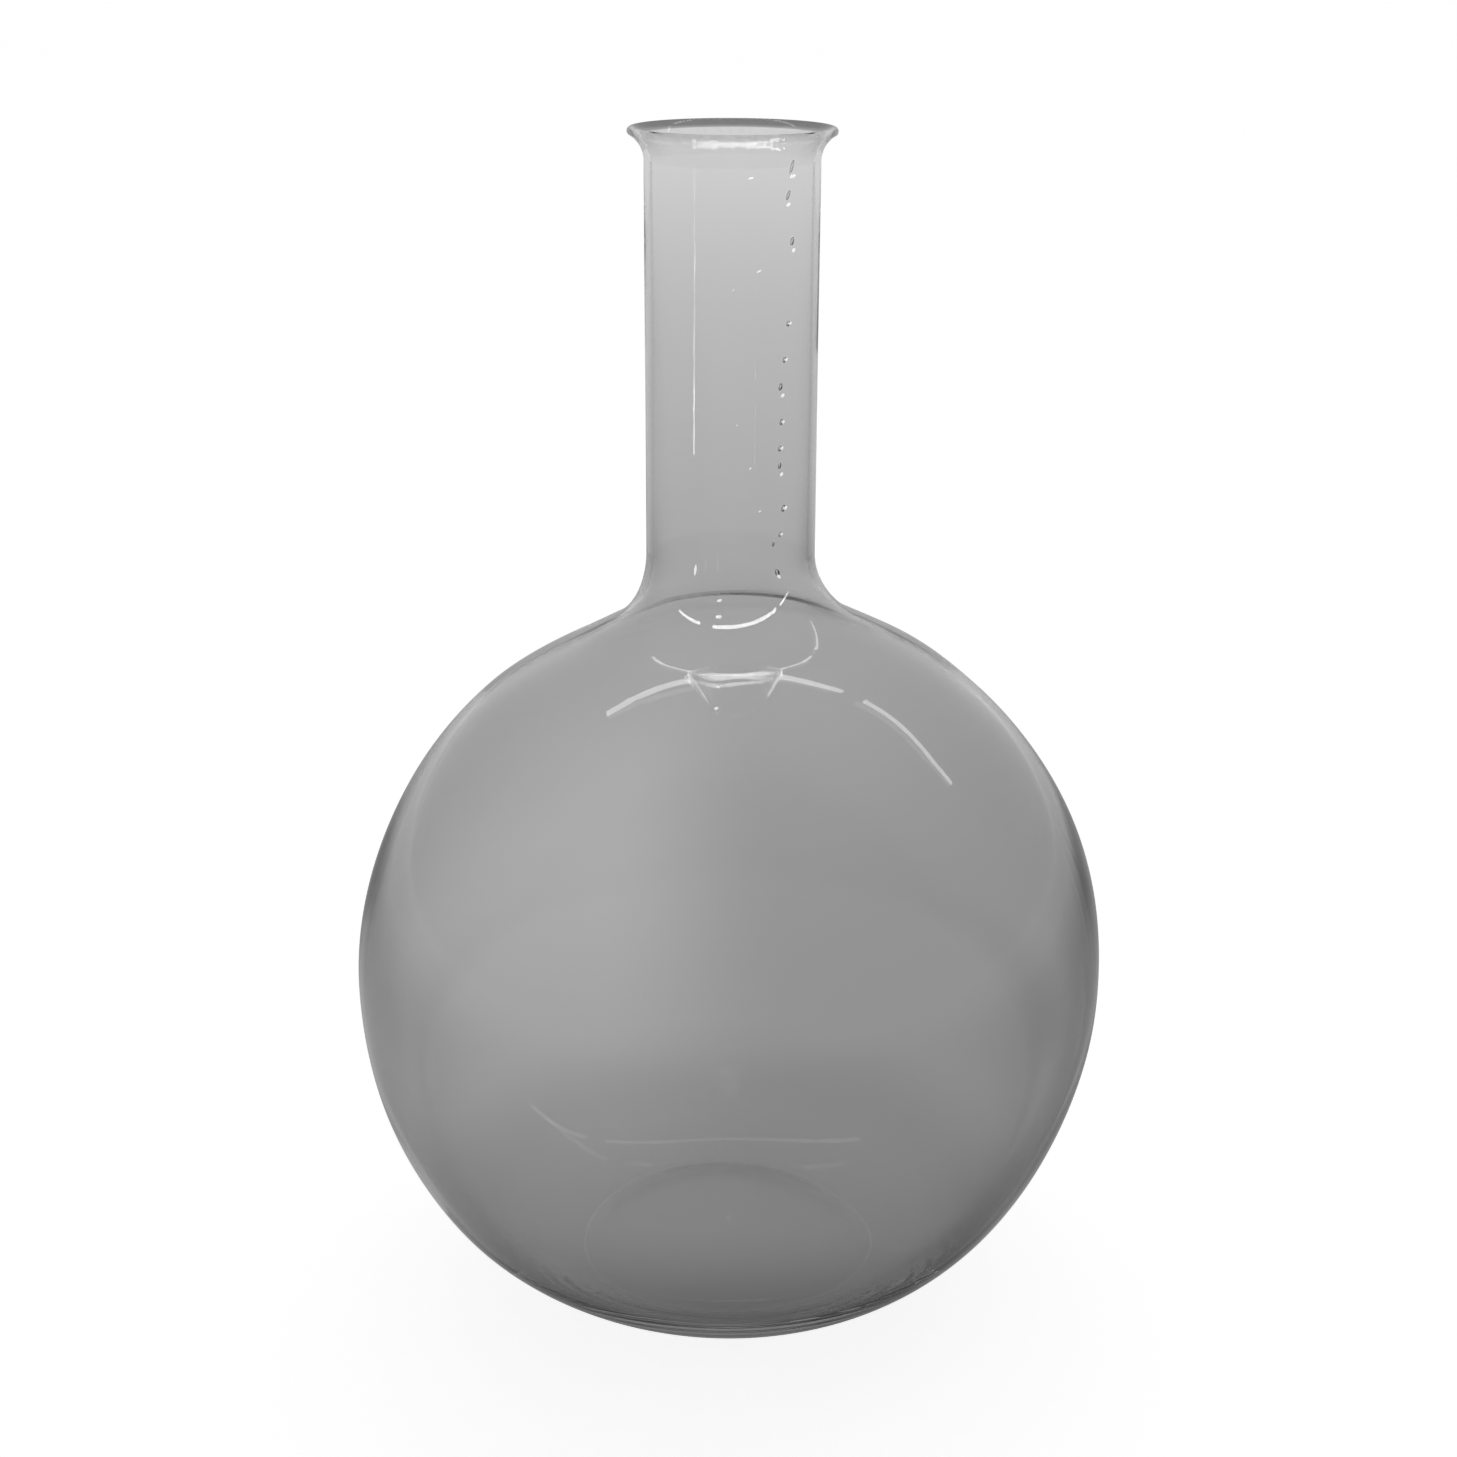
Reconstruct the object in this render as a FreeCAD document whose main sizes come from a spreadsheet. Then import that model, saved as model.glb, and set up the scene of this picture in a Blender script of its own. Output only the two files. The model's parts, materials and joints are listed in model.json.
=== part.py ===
import FreeCAD, Part
import math
import os

import Sketcher

# A hand-blown laboratory flask: a globe drawn up into a straight neck with a flared, fire-polished
# mouth, standing on a small flattened base whose middle is pushed up.
#
# The flask is one continuous wall of glass. Each node is one worked zone of that wall, cut square
# across it, so that neighbouring zones meet face to face. Every zone is a solid of revolution.
#
# Frame: millimetres, +Z up along the flask's axis, origin at the middle of the plane it stands on.

DIMENSIONS = [
    # alias, size, meaning
    ("globe_radius", 118.0, "outer radius of the globe"),
    ("globe_height", 104.8, "height of the globe's widest circle"),
    ("wall", 2.4, "thickness of the neck and globe walls"),
    ("crown_angle", 52.0, "angle from the axis to the lower edge of the globe's crown"),
    ("shoulder_angle", 28.1, "angle from the axis at which the globe runs into the straight shoulder"),
    ("shoulder_fillet", 25.7, "outer radius of the bend from shoulder to neck"),
    ("neck_radius", 25.6, "outer radius of the neck"),
    ("flare_height", 356.1, "height at which the neck starts to flare"),
    ("flare_radius", 8.45, "outer radius of the flare's curve"),
    ("flare_angle", 42.0, "turn of the flare up to the lip"),
    ("lip_angle", 60.0, "turn of the wall where the lip's rounding starts"),
    ("belly_offset", 8.15, "how far the lower globe's curve has its centre behind the axis"),
    ("belly_angle", 33.3, "angle below the widest circle at which the heel starts"),
    ("heel_radius", 87.7, "outer radius of the heel's curve"),
    ("heel_inner_radius", 75.8, "inner radius of the heel's curve, which thickens the glass downwards"),
    ("foot_inner_radius", 46.5, "inner radius of the flat ring that the flask stands on"),
    ("punt_rise", 6.0, "how far the middle of the base is pushed up"),
    ("punt_thickness", 3.8, "thickness of the glass at the middle of the base"),
]

SHEET = "Dimensions"

# The side that a round edge bulges to, going along its outline, and what a straight edge has instead.
LEFT = 1
RIGHT = -1
STRAIGHT = (None, 0)


def dim(alias):
    """The expression that reads one driving dimension."""
    return f"{SHEET}.{alias}"


def angle(alias):
    """The expression that reads one driving angle, with its unit."""
    return f"({dim(alias)} * 1 deg)"


RADIUS = dim("globe_radius")
CENTRE_HEIGHT = dim("globe_height")
WALL = dim("wall")
NECK = dim("neck_radius")
FILLET = dim("shoulder_fillet")
FLARE = dim("flare_radius")
OFFSET = dim("belly_offset")
SHOULDER = angle("shoulder_angle")
BELLY = angle("belly_angle")

# The straight shoulder leaves the globe along its tangent and ends where the bend to the neck starts.
SHOULDER_RUN = f"((({RADIUS} + {FILLET}) * sin({SHOULDER}) - {NECK} - {FILLET}) / cos({SHOULDER}))"
SHOULDER_RISE = f"{SHOULDER_RUN} * sin({SHOULDER})"
NECK_BASE = f"({CENTRE_HEIGHT} + ({RADIUS} + {FILLET}) * cos({SHOULDER}) + {SHOULDER_RISE})"


def on_globe(polar, depth):
    """Point of the upper globe at an angle from the axis, at a depth below the outer surface."""
    return (f"({RADIUS} - {depth}) * sin({polar})",
            f"{CENTRE_HEIGHT} + ({RADIUS} - {depth}) * cos({polar})")


def on_belly(below, depth):
    """Point of the lower globe at an angle below its widest circle."""
    return (f"({RADIUS} + {OFFSET} - {depth}) * cos({below}) - {OFFSET}",
            f"{CENTRE_HEIGHT} - ({RADIUS} + {OFFSET} - {depth}) * sin({below})")


def on_bend(depth):
    """Point where the straight shoulder meets the bend to the neck."""
    return (f"{NECK} + {FILLET} - ({FILLET} + {depth}) * sin({SHOULDER})",
            f"{NECK_BASE} - ({FILLET} + {depth}) * cos({SHOULDER})")


def on_flare(turn, depth):
    """Point of the flared mouth after a turn outwards from the neck."""
    return (f"{NECK} + {FLARE} - ({FLARE} + {depth}) * cos({turn})",
            f"{dim('flare_height')} + ({FLARE} + {depth}) * sin({turn})")


def on_neck(height, depth):
    """Point of the straight neck at a height."""
    return (f"{NECK} - {depth}", height)


# The two heel curves leave the lower globe along its tangent, so their centres lie on its radius.
HEEL_REACH = f"({RADIUS} + {OFFSET} - {dim('heel_radius')})"
HEEL_X = f"({HEEL_REACH} * cos({BELLY}) - {OFFSET})"
HEEL_Z = f"({CENTRE_HEIGHT} - {HEEL_REACH} * sin({BELLY}))"
INNER_REACH = f"({RADIUS} + {OFFSET} - {WALL} - {dim('heel_inner_radius')})"
INNER_X = f"({INNER_REACH} * cos({BELLY}) - {OFFSET})"
INNER_Z = f"({CENTRE_HEIGHT} - {INNER_REACH} * sin({BELLY}))"

FOOT_INNER = dim("foot_inner_radius")
FOOT_OUTER = f"({HEEL_X} + sqrt({dim('heel_radius')} ^ 2 - {HEEL_Z} ^ 2))"
GROOVE_RUN = f"({FOOT_INNER} - {INNER_X})"
GROOVE_HEIGHT = f"({INNER_Z} - sqrt({dim('heel_inner_radius')} ^ 2 - {GROOVE_RUN} ^ 2))"
PUNT_RISE = dim("punt_rise")
PUNT_TOP = f"({PUNT_RISE} + {dim('punt_thickness')})"


def dome_radius(rise):
    """Radius of the shallow dome that spans the foot ring and rises by a given height."""
    return f"({FOOT_INNER} ^ 2 + ({rise}) ^ 2) / (2 * ({rise}))"


def make_sheet(document):
    """Put the driving dimensions into the spreadsheet, one row each."""
    sheet = document.addObject("Spreadsheet::Sheet", SHEET)
    for row, (alias, size, meaning) in enumerate(DIMENSIONS, start=1):
        sheet.set(f"A{row}", meaning)
        sheet.set(f"B{row}", str(size))
        sheet.setAlias(f"B{row}", alias)
    document.recompute()
    return sheet


def number(sketch, expression):
    """The size that an expression has now, in millimetres."""
    result = sketch.evalExpression(expression)
    return float(getattr(result, "Value", result))


def bind(sketch, constraint, name, expression):
    """Add a dimension to the sketch and drive it with an expression."""
    index = sketch.addConstraint(constraint)
    sketch.renameConstraint(index, name)
    sketch.setExpression(f"Constraints.{name}", expression)


def arc_between(start, end, radius, bulge):
    """Anticlockwise arc on a chord that bulges to the left (+1) or right (-1) of start to end."""
    chord = end - start
    left = FreeCAD.Vector(-chord.y, chord.x, 0).normalize()
    inset = math.sqrt(max(radius ** 2 - (chord.Length / 2.0) ** 2, 0.0))
    centre = (start + end) * 0.5 - left * (bulge * inset)
    first, last = (end, start) if bulge > 0 else (start, end)
    first_angle = math.atan2(first.y - centre.y, first.x - centre.x)
    last_angle = math.atan2(last.y - centre.y, last.x - centre.x)
    circle = Part.Circle(centre, FreeCAD.Vector(0, 0, 1), radius)
    return Part.ArcOfCircle(circle, first_angle, last_angle)


def draw_outline(sketch, outline):
    """Draw a closed outline of straight and round edges and drive every size of it.

    Each entry is the corner where an edge starts, then the edge's radius and the side that it
    bulges to, or None and 0 for a straight edge.
    """
    corners = [FreeCAD.Vector(number(sketch, corner[0]), number(sketch, corner[1]), 0)
               for corner, radius, bulge in outline]
    ends = corners[1:] + corners[:1]
    starts_at = []
    for (corner, radius, bulge), start, end in zip(outline, corners, ends):
        if radius is None:
            sketch.addGeometry(Part.LineSegment(start, end), False)
            starts_at.append(1)
            continue
        sketch.addGeometry(arc_between(start, end, number(sketch, radius), bulge), False)
        # An anticlockwise arc that bulges left of the outline runs against it.
        starts_at.append(2 if bulge > 0 else 1)
    count = len(outline)
    for edge in range(count):
        following = (edge + 1) % count
        leaves = 3 - starts_at[edge]
        sketch.addConstraint(
            Sketcher.Constraint("Coincident", edge, leaves, following, starts_at[following]))
    for edge, (corner, radius, bulge) in enumerate(outline):
        for axis, kind, expression in (("r", "DistanceX", corner[0]), ("z", "DistanceY", corner[1])):
            if expression == "0":
                line = -2 if axis == "r" else -1
                sketch.addConstraint(
                    Sketcher.Constraint("PointOnObject", edge, starts_at[edge], line))
                continue
            size = number(sketch, expression)
            bind(sketch, Sketcher.Constraint(kind, -1, 1, edge, starts_at[edge], size),
                 f"corner_{edge}_{axis}", expression)
        if radius is not None:
            bind(sketch, Sketcher.Constraint("Radius", edge, number(sketch, radius)),
                 f"curve_{edge}", radius)


def revolve(document, name, outline):
    """Make one zone of the wall: its outline, turned once round the flask's axis."""
    body = document.addObject("PartDesign::Body", name)
    body.Label = name
    body.Placement = FreeCAD.Placement()
    sketch = body.newObject("Sketcher::SketchObject", f"{name}_outline")
    plane = next(item for item in body.Origin.OriginFeatures if item.Role == "XZ_Plane")
    sketch.AttachmentSupport = [(plane, "")]
    sketch.MapMode = "FlatFace"
    draw_outline(sketch, outline)
    turn = body.newObject("PartDesign::Revolution", f"{name}_turn")
    turn.Profile = sketch
    turn.ReferenceAxis = (sketch, ["V_Axis"])
    turn.Angle = 360.0
    body.Tip = turn
    return body


def curve(radius, bulge):
    """A round edge of an outline."""
    return (radius, bulge)


def lip_bead(document):
    """The rounded lip: the last of the flare, closed by a half-round edge."""
    turn = angle("lip_angle")
    start = angle("flare_angle")
    return revolve(document, "lip_bead", [
        (on_flare(start, "0"), *curve(FLARE, LEFT)),
        (on_flare(turn, "0"), *curve(f"{WALL} / 2", RIGHT)),
        (on_flare(turn, WALL), *curve(f"{FLARE} + {WALL}", RIGHT)),
        (on_flare(start, WALL), *STRAIGHT),
    ])


def mouth_flare(document):
    """The mouth, opened outwards from the neck."""
    end = angle("flare_angle")
    start = "(0 deg)"
    return revolve(document, "mouth_flare", [
        (on_flare(start, "0"), *curve(FLARE, LEFT)),
        (on_flare(end, "0"), *STRAIGHT),
        (on_flare(end, WALL), *curve(f"{FLARE} + {WALL}", RIGHT)),
        (on_flare(start, WALL), *STRAIGHT),
    ])


def neck_tube(document):
    """The straight neck, with the bore that a stopper or a tube goes into."""
    top = dim("flare_height")
    return revolve(document, "neck_tube", [
        (on_neck(NECK_BASE, "0"), *STRAIGHT),
        (on_neck(top, "0"), *STRAIGHT),
        (on_neck(top, WALL), *STRAIGHT),
        (on_neck(NECK_BASE, WALL), *STRAIGHT),
    ])


def shoulder(document):
    """The straight slope off the globe and the bend into the neck."""
    return revolve(document, "shoulder", [
        (on_globe(SHOULDER, "0"), *STRAIGHT),
        (on_bend("0"), *curve(FILLET, LEFT)),
        (on_neck(NECK_BASE, "0"), *STRAIGHT),
        (on_neck(NECK_BASE, WALL), *curve(f"{FILLET} + {WALL}", RIGHT)),
        (on_bend(WALL), *STRAIGHT),
        (on_globe(SHOULDER, WALL), *STRAIGHT),
    ])


def globe_zone(document, name, lower, upper):
    """A band of the upper globe between two angles from the axis."""
    inner = f"{RADIUS} - {WALL}"
    return revolve(document, name, [
        (on_globe(lower, "0"), *curve(RADIUS, RIGHT)),
        (on_globe(upper, "0"), *STRAIGHT),
        (on_globe(upper, WALL), *curve(inner, LEFT)),
        (on_globe(lower, WALL), *STRAIGHT),
    ])


def globe_lower(document):
    """The lower globe, from the widest circle down to the heel."""
    level = "(0 deg)"
    outer = f"{RADIUS} + {OFFSET}"
    return revolve(document, "globe_lower", [
        (on_belly(BELLY, "0"), *curve(outer, RIGHT)),
        (on_belly(level, "0"), *STRAIGHT),
        (on_belly(level, WALL), *curve(f"{outer} - {WALL}", LEFT)),
        (on_belly(BELLY, WALL), *STRAIGHT),
    ])


def base_heel(document):
    """The thickening turn from the globe into the base, with the flat ring that the flask stands on."""
    return revolve(document, "base_heel", [
        ((FOOT_INNER, "0"), *STRAIGHT),
        ((FOOT_OUTER, "0"), *curve(dim("heel_radius"), RIGHT)),
        (on_belly(BELLY, "0"), *STRAIGHT),
        (on_belly(BELLY, WALL), *curve(dim("heel_inner_radius"), LEFT)),
        ((FOOT_INNER, GROOVE_HEIGHT), *STRAIGHT),
    ])


def base_punt(document):
    """The middle of the base, pushed up into a shallow dome inside the foot ring."""
    return revolve(document, "base_punt", [
        (("0", PUNT_RISE), *curve(dome_radius(PUNT_RISE), LEFT)),
        ((FOOT_INNER, "0"), *STRAIGHT),
        ((FOOT_INNER, GROOVE_HEIGHT), *curve(dome_radius(f"{PUNT_TOP} - {GROOVE_HEIGHT}"), RIGHT)),
        (("0", PUNT_TOP), *STRAIGHT),
    ])


def check(document, zones):
    """Stop if any object failed to build or any zone isn't one valid solid."""
    for item in document.Objects:
        if "Invalid" in item.State or "Error" in item.State:
            raise RuntimeError(f"{item.Name} failed: {item.State}")
    for zone in zones:
        shape = zone.Shape
        if shape.isNull() or not shape.isValid() or len(shape.Solids) != 1:
            raise RuntimeError(f"{zone.Label} isn't one valid solid")


def main():
    document = FreeCAD.newDocument("flask")
    make_sheet(document)
    zones = [
        lip_bead(document),
        mouth_flare(document),
        neck_tube(document),
        shoulder(document),
        globe_zone(document, "globe_crown", angle("crown_angle"), SHOULDER),
        globe_zone(document, "globe_upper", "(90 deg)", angle("crown_angle")),
        globe_lower(document),
        base_heel(document),
        base_punt(document),
    ]
    document.recompute()
    check(document, zones)
    os.makedirs("parts", exist_ok=True)
    for zone in zones:
        zone.Shape.exportStep(f"parts/{zone.Label}.step")
        box = zone.Shape.optimalBoundingBox(False)
        print(f"{zone.Label}: {zone.Shape.Volume / 1000:.1f} cm3, "
              f"r {box.XMax:.2f}, z {box.ZMin:.2f} to {box.ZMax:.2f}")


main()
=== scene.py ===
"""Visual model of a hand-blown glass laboratory flask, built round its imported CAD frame.

The flask's wall is one smooth skin of revolution, from the middle of the base's underside, up the
outside, over the lip and down the inside to the middle of the base. Each CAD zone of the wall gets
its own closed piece, cut out of that one skin, so that the glass runs on unbroken across the cuts.
"""

import json
import math

import bpy
import numpy as np
from mathutils import Matrix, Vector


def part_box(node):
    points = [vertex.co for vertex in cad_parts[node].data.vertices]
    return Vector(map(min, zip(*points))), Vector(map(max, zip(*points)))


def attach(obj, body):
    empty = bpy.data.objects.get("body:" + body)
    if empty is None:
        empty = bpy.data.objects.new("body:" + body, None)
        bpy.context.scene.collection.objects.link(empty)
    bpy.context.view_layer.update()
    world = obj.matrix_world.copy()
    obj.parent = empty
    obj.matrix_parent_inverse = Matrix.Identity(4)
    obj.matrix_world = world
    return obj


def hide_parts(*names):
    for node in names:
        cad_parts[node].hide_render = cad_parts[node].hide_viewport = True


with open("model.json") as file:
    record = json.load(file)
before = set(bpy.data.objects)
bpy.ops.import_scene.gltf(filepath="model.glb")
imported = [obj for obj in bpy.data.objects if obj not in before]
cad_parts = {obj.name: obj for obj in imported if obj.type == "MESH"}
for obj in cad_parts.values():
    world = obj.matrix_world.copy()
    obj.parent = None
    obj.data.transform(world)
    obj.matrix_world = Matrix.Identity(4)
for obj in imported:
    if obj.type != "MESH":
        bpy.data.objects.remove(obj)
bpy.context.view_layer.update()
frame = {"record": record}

MM = 0.001

# ---------------------------------------------------------------- sizes, from the frame where it has them

def box_of(node):
    """Lowest and highest corner of a CAD node, as numbers."""
    low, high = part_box(node)
    return tuple(low), tuple(high)


def reach_of(node):
    """How far a CAD node reaches from the axis."""
    return box_of(node)[1][0]


GLOBE_RADIUS = reach_of("globe_upper")
GLOBE_HEIGHT = box_of("globe_upper")[0][2]
NECK_RADIUS = reach_of("neck_tube")
NECK_BASE = box_of("neck_tube")[0][2]
FLARE_HEIGHT = box_of("neck_tube")[1][2]
BORE = next(mount for mount in frame["record"]["mounts"] if mount["name"] == "neck_bore")
WALL = NECK_RADIUS - BORE["dims"]["r_mm"] * MM
FOOT_INNER = reach_of("base_punt")
PUNT_TOP = box_of("base_punt")[1][2]
LIP_TOP = box_of("lip_bead")[1][2]
HEEL_REACH = reach_of("base_heel")
HEEL_TOP = box_of("globe_lower")[0][2]

SHOULDER_ANGLE = math.asin(reach_of("shoulder") / GLOBE_RADIUS)
CROWN_ANGLE = math.asin(reach_of("globe_crown") / GLOBE_RADIUS)
BELLY_ANGLE = 2.0 * math.atan((GLOBE_RADIUS - HEEL_REACH) / (GLOBE_HEIGHT - HEEL_TOP))
BELLY_RADIUS = (GLOBE_HEIGHT - HEEL_TOP) / math.sin(BELLY_ANGLE)
BELLY_OFFSET = BELLY_RADIUS - GLOBE_RADIUS

SHOULDER_FILLET = 25.7 * MM
FULL_FILLET = 27.6 * MM
FLARE_RADIUS = 8.45 * MM
FLARE_ANGLE = math.radians(42.0)
LIP_ANGLE = math.radians(60.0)
HEEL_RADIUS = 87.7 * MM
HEEL_INNER_RADIUS = 75.8 * MM
PUNT_THICKNESS = 3.8 * MM
PUNT_RISE = PUNT_TOP - PUNT_THICKNESS

# ---------------------------------------------------------------- the wall's profile

UP = math.pi / 2
STEP = 2.6 * MM
FINE_STEP = 0.9 * MM
SLOPE_ROWS = 14
BEND_ROWS = 28
# The foot ring's corners are melted round this many times over, this near to them.
FOOT_MELT = 2
MELT_REACH = 9 * MM
MELT_HEIGHT = 14 * MM
SETTLE_HEIGHT = 20 * MM


def polar(centre, radius, angles):
    """Points of a circle in the profile plane: angle 0 points away from the axis, 90 degrees up."""
    return np.column_stack([centre[0] + radius * np.cos(angles), centre[1] + radius * np.sin(angles)])


def arc(centre, radius, start, end, step=STEP):
    """Points of an arc from one angle to another."""
    count = max(int(math.ceil(abs(end - start) * radius / step)), 4)
    return polar(centre, radius, np.linspace(start, end, count + 1))


def straight(start, end, step=STEP):
    """Points of a straight stretch."""
    start, end = np.array(start), np.array(end)
    count = max(int(math.ceil(np.linalg.norm(end - start) / step)), 2)
    along = np.linspace(0.0, 1.0, count + 1)[:, None]
    return start + (end - start) * along


def joined(*stretches):
    """One stretch made of several that share their end points."""
    return np.vstack([stretches[0]] + [stretch[1:] for stretch in stretches[1:]])


GLOBE_CENTRE = (0.0, GLOBE_HEIGHT)
BELLY_CENTRE = (-BELLY_OFFSET, GLOBE_HEIGHT)
FLARE_CENTRE = (NECK_RADIUS + FLARE_RADIUS, FLARE_HEIGHT)
BEND_CENTRE = (NECK_RADIUS + SHOULDER_FILLET, NECK_BASE)


def tangent_centre(depth, radius):
    """Centre of a heel curve that carries on smoothly from the lower globe at some depth in the wall."""
    reach = BELLY_RADIUS - depth - radius
    return (reach * math.cos(BELLY_ANGLE) - BELLY_OFFSET, GLOBE_HEIGHT - reach * math.sin(BELLY_ANGLE))


HEEL_CENTRE = tangent_centre(0.0, HEEL_RADIUS)
INNER_CENTRE = tangent_centre(WALL, HEEL_INNER_RADIUS)
FOOT_OUTER = HEEL_CENTRE[0] + math.sqrt(HEEL_RADIUS ** 2 - HEEL_CENTRE[1] ** 2)
GROOVE_HEIGHT = INNER_CENTRE[1] - math.sqrt(
    HEEL_INNER_RADIUS ** 2 - (FOOT_INNER - INNER_CENTRE[0]) ** 2)


def dome(top, rim_height):
    """Shallow dome from the middle of the base out to the foot ring."""
    rise = top - rim_height
    radius = (FOOT_INNER ** 2 + rise ** 2) / (2.0 * rise)
    half = math.asin(FOOT_INNER / radius)
    return arc((0.0, top - radius), radius, UP, UP - half, FINE_STEP * 2)


def heel(centre, radius, foot):
    """Heel curve from the foot up to the lower globe."""
    start = -math.acos((foot - centre[0]) / radius)
    return arc(centre, radius, start, -BELLY_ANGLE)


def belly(depth):
    """Lower globe from the heel up to the widest circle."""
    return arc(BELLY_CENTRE, BELLY_RADIUS - depth, -BELLY_ANGLE, 0.0)


def globe(depth, lower, upper):
    """Band of the upper globe between two angles from the axis."""
    return arc(GLOBE_CENTRE, GLOBE_RADIUS - depth, UP - lower, UP - upper)


def shoulder(depth, full):
    """From the globe to the neck: a straight slope and a bend, or, if full, the globe's own curve and a
    wider bend. Both have the same number of points and meet the globe and the neck at the same height.
    """
    start = UP - SHOULDER_ANGLE
    if full:
        radius = FULL_FILLET
        rise = math.acos((NECK_BASE - GLOBE_HEIGHT) / (GLOBE_RADIUS + radius))
        centre = (NECK_RADIUS + radius, NECK_BASE)
        slope = polar(GLOBE_CENTRE, GLOBE_RADIUS - depth, np.linspace(start, UP - rise, SLOPE_ROWS + 1))
    else:
        radius = SHOULDER_FILLET
        rise = SHOULDER_ANGLE
        centre = BEND_CENTRE
        first = polar(GLOBE_CENTRE, GLOBE_RADIUS - depth, np.array([start]))[0]
        last = polar(centre, radius + depth, np.array([3 * UP - rise]))[0]
        slope = first + (last - first) * np.linspace(0.0, 1.0, SLOPE_ROWS + 1)[:, None]
    bend = polar(centre, radius + depth, np.linspace(3 * UP - rise, 2 * UP, BEND_ROWS + 1))
    return joined(slope, bend)


def neck(depth):
    """The straight neck."""
    return straight((NECK_RADIUS - depth, NECK_BASE), (NECK_RADIUS - depth, FLARE_HEIGHT))


def flare(depth, start, end):
    """Part of the curve that opens the mouth."""
    return arc(FLARE_CENTRE, FLARE_RADIUS + depth, 2 * UP - start, 2 * UP - end, FINE_STEP * 0.3)


def lip_round():
    """The half-round edge of the lip."""
    centre = polar(FLARE_CENTRE, FLARE_RADIUS + WALL / 2, np.array([2 * UP - LIP_ANGLE]))[0]
    first = -LIP_ANGLE
    return arc(centre, WALL / 2, first, first + 2 * UP, 0.3 * MM)


def zone_curves(full):
    """The whole skin in order, as (node, points) stretches that share their end points."""
    outside = [
        ("base_punt", dome(PUNT_RISE, 0.0)),
        ("base_heel", joined(
            straight((FOOT_INNER, 0.0), (FOOT_OUTER, 0.0), FINE_STEP),
            heel(HEEL_CENTRE, HEEL_RADIUS, FOOT_OUTER))),
        ("globe_lower", belly(0.0)),
        ("globe_upper", globe(0.0, UP, CROWN_ANGLE)),
        ("globe_crown", globe(0.0, CROWN_ANGLE, SHOULDER_ANGLE)),
        ("shoulder", shoulder(0.0, full)),
        ("neck_tube", neck(0.0)),
        ("mouth_flare", flare(0.0, 0.0, FLARE_ANGLE)),
    ]
    lip = joined(flare(0.0, FLARE_ANGLE, LIP_ANGLE), lip_round(), flare(WALL, LIP_ANGLE, FLARE_ANGLE))
    inside = [
        ("mouth_flare", flare(WALL, FLARE_ANGLE, 0.0)),
        ("neck_tube", neck(WALL)[::-1]),
        ("shoulder", shoulder(WALL, full)[::-1]),
        ("globe_crown", globe(WALL, CROWN_ANGLE, SHOULDER_ANGLE)[::-1]),
        ("globe_upper", globe(WALL, UP, CROWN_ANGLE)[::-1]),
        ("globe_lower", belly(WALL)[::-1]),
        ("base_heel", heel(INNER_CENTRE, HEEL_INNER_RADIUS, FOOT_INNER)[::-1]),
        ("base_punt", dome(PUNT_TOP, GROOVE_HEIGHT)[::-1]),
    ]
    return outside + [("lip_bead", lip)] + inside


def build_profile(full):
    """Rows of the whole skin, and for each node the row ranges that belong to it."""
    rows = []
    ranges = {}
    for node, points in zone_curves(full):
        start = max(len(rows) - 1, 0)
        rows.extend(points if not rows else points[1:])
        ranges.setdefault(node, []).append((start, len(rows) - 1))
    return np.array(rows), ranges


def softened(rows):
    """The profile with the corners of the foot ring melted round, still standing on the floor."""
    for _ in range(FOOT_MELT):
        middle = (rows[:-2] + rows[2:]) / 2
        near = (abs(rows[1:-1, 0] - FOOT_INNER) < MELT_REACH) & (rows[1:-1, 1] < MELT_HEIGHT)
        rows[1:-1] = np.where(near[:, None], (rows[1:-1] + middle) / 2, rows[1:-1])
    lift = rows[:, 1].min()
    rows[:, 1] -= lift * np.clip(1.0 - rows[:, 1] / SETTLE_HEIGHT, 0.0, 1.0)
    return rows


PROFILE, RANGES = build_profile(False)
FULL_PROFILE, _ = build_profile(True)
PROFILE = softened(PROFILE)
FULL_PROFILE = softened(FULL_PROFILE)
ROWS = len(PROFILE)

# ---------------------------------------------------------------- the skin, with its hand-blown unevenness

PLAIN_COLUMNS = 360
# Fine ridges down the neck, in degrees to the right of the front. The skin has extra columns on them.
CORD_ANGLES = (-17.0, -8.3, 15.5, 36.0, 73.0)
CORD_REACH = math.radians(2.0)
CORD_COLUMNS = 16
CORD_HEIGHT = 0.022 * MM
# Tool marks inside the mouth: how deep they are, how steep, how many go round, and where they fade.
MARK_DEPTH = 0.09 * MM
MARK_CLIMB = 0.6 * MM
MARK_TURNS = (23, 31, 43, 59, 71)
MARK_START = (355 * MM, 357.5 * MM)
MARK_END = (360 * MM, 362.5 * MM)
# The shoulder is the full one in front and the plain slope behind. It changes between these two angles
# from the front.
FULL_TURN = (math.radians(100.0), math.radians(60.0))
# How far the globe leans to one side above and below its middle, and how the shoulder rises to the right.
LEAN_ABOVE = 1.15 * MM
LEAN_BELOW = 0.75 * MM
SHOULDER_TILT = 0.024


def column_angles():
    """Angles of the skin's columns round the axis."""
    angles = np.linspace(0.0, 2.0 * math.pi, PLAIN_COLUMNS, endpoint=False)
    for cord_angle in CORD_ANGLES:
        middle = (math.radians(cord_angle) - UP) % (4 * UP)
        angles = angles[abs(angles - middle) > CORD_REACH * 1.1]
        angles = np.append(angles, middle + np.linspace(-CORD_REACH, CORD_REACH, CORD_COLUMNS))
    return np.sort(angles)


rng = np.random.default_rng(20)
THETA = column_angles()
AROUND = len(THETA)
ALONG = np.concatenate([[0.0], np.cumsum(np.linalg.norm(np.diff(PROFILE, axis=0), axis=1))])
LIP_ROW = (RANGES["lip_bead"][0][0] + RANGES["lip_bead"][0][1]) // 2


def smooth(low, high, value):
    """0 below low, 1 above high, and a smooth rise between."""
    part = np.clip((value - low) / (high - low), 0.0, 1.0)
    return part * part * (3.0 - 2.0 * part)


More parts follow.
